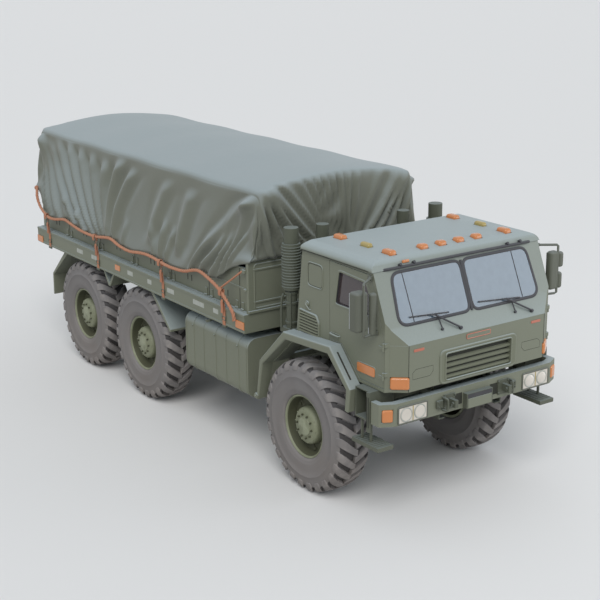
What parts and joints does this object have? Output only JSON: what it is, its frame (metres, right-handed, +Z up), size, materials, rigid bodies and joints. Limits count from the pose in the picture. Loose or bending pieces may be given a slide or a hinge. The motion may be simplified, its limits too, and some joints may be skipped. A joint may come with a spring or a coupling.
{
  "type": "six-wheel military cargo truck",
  "caption": "Cab-over cargo truck with a lashed canvas cover over its load bed, rolling wheels, steering, opening doors and a drop tailgate.",
  "frame": {"origin": "on the ground, under the middle of the truck's overall length and width", "axes": "+X forward, +Y to the truck's left, +Z up"},
  "size_m": [8.04, 2.76, 3.2299],
  "materials": {
    "body_paint": "worn matt green-grey paint",
    "wheel_paint": "matt green paint with dust",
    "frame_paint": "dark matt green paint",
    "engine_iron": "rough, oily",
    "tyre_rubber": "dusty rubber",
    "window_glass": "clear",
    "lamp_glass": "ribbed lens",
    "amber_plastic": "amber lens",
    "dark_plastic": "green-grey painted plastic",
    "cab_plastic": "dark cab trim",
    "seat_cloth": "woven seat cloth",
    "tarp_canvas": "coated canvas, folded and lashed",
    "rope_fibre": "faded orange rope and webbing"
  },
  "bodies": {
    "truck": {"chassis_frame": "frame_paint", "front_axle": "frame_paint", "middle_axle": "frame_paint", "rear_axle": "frame_paint", "leaf_springs": "frame_paint", "engine_and_radiator": "engine_iron", "transfer_drive": "frame_paint", "front_bumper": "body_paint", "headlamps": "lamp_glass", "amber_lamps": "amber_plastic", "front_tow_gear": "frame_paint", "cab_body": "body_paint", "cab_front": "body_paint", "cab_roof": "body_paint", "windscreen": "window_glass", "front_grille": "body_paint", "dashboard": "cab_plastic", "seat_bases": "cab_plastic", "seat_cushions": "seat_cloth", "front_mudguards": "body_paint", "cab_steps": "frame_paint", "fuel_tank": "body_paint", "battery_box": "body_paint", "air_tanks": "frame_paint", "stacks": "frame_paint", "bed_frame": "body_paint", "bed_boards": "body_paint", "tarp_bows": "frame_paint", "tarpaulin": "tarp_canvas", "rear_mudguards": "body_paint", "lashing": "rope_fibre", "tail_lamps": "amber_plastic"},
    "knuckle_left": {"knuckle_left": "frame_paint"},
    "knuckle_right": {"knuckle_right": "frame_paint"},
    "tie_rod": {"tie_rod": "frame_paint"},
    "steering_wheel": {"steering_wheel": "cab_plastic"},
    "tailgate": {"tailgate": "body_paint"},
    "wheel_front_left": {"tyre_front_left": "tyre_rubber", "rim_front_left": "wheel_paint"},
    "wheel_front_right": {"tyre_front_right": "tyre_rubber", "rim_front_right": "wheel_paint"},
    "wheel_middle_left": {"tyre_middle_left": "tyre_rubber", "rim_middle_left": "wheel_paint"},
    "wheel_middle_right": {"tyre_middle_right": "tyre_rubber", "rim_middle_right": "wheel_paint"},
    "wheel_rear_left": {"tyre_rear_left": "tyre_rubber", "rim_rear_left": "wheel_paint"},
    "wheel_rear_right": {"tyre_rear_right": "tyre_rubber", "rim_rear_right": "wheel_paint"},
    "cab_door_left": {"door_left": "body_paint", "door_glass_left": "window_glass", "mirror_left": "dark_plastic"},
    "cab_door_right": {"door_right": "body_paint", "door_glass_right": "window_glass", "mirror_right": "dark_plastic"}
  },
  "joints": [
    {"name": "steer_left", "type": "hinge", "parent": "truck", "child": "knuckle_left", "pos_m": [2.5, 0.86, 0.729], "axis": [0, 0, 1], "range_deg": [-30, 30]},
    {"name": "steer_right", "type": "hinge", "parent": "truck", "child": "knuckle_right", "pos_m": [2.5, -0.86, 0.729], "axis": [0, 0, 1], "range_deg": [-30, 30]},
    {"name": "tie_rod_pivot", "type": "hinge", "parent": "knuckle_left", "child": "tie_rod", "pos_m": [2.35, 0.86, 0.56], "axis": [0, 0, 1], "range_deg": [-30, 30]},
    {"name": "steering_wheel_turn", "type": "hinge", "parent": "truck", "child": "steering_wheel", "pos_m": [3.36, 0.55, 2.23], "axis": [-0.5, 0, 0.866], "range_deg": [-450, 450]},
    {"name": "spin_front_left", "type": "hinge", "parent": "knuckle_left", "child": "wheel_front_left", "pos_m": [2.5, 1, 0.729], "axis": [0, 1, 0], "continuous": true},
    {"name": "spin_front_right", "type": "hinge", "parent": "knuckle_right", "child": "wheel_front_right", "pos_m": [2.5, -1, 0.729], "axis": [0, 1, 0], "continuous": true},
    {"name": "spin_middle_left", "type": "hinge", "parent": "truck", "child": "wheel_middle_left", "pos_m": [-1.05, 1, 0.729], "axis": [0, 1, 0], "continuous": true},
    {"name": "spin_middle_right", "type": "hinge", "parent": "truck", "child": "wheel_middle_right", "pos_m": [-1.05, -1, 0.729], "axis": [0, 1, 0], "continuous": true},
    {"name": "spin_rear_left", "type": "hinge", "parent": "truck", "child": "wheel_rear_left", "pos_m": [-2.665, 1, 0.729], "axis": [0, 1, 0], "continuous": true},
    {"name": "spin_rear_right", "type": "hinge", "parent": "truck", "child": "wheel_rear_right", "pos_m": [-2.665, -1, 0.729], "axis": [0, 1, 0], "continuous": true},
    {"name": "open_door_left", "type": "hinge", "parent": "truck", "child": "cab_door_left", "pos_m": [3.772, 1.112, 1.5], "axis": [0, 0, -1], "range_deg": [0, 70]},
    {"name": "open_door_right", "type": "hinge", "parent": "truck", "child": "cab_door_right", "pos_m": [3.772, -1.112, 1.5], "axis": [0, 0, 1], "range_deg": [0, 70]},
    {"name": "drop_tailgate", "type": "hinge", "parent": "truck", "child": "tailgate", "pos_m": [-3.918, 0, 1.765], "axis": [0, -1, 0], "range_deg": [0, 90]}
  ],
  "couplings": [
    {"joint": "steer_right", "follows": "steer_left", "ratio": 1},
    {"joint": "tie_rod_pivot", "follows": "steer_left", "ratio": -1},
    {"joint": "steering_wheel_turn", "follows": "steer_left", "ratio": 15}
  ]
}
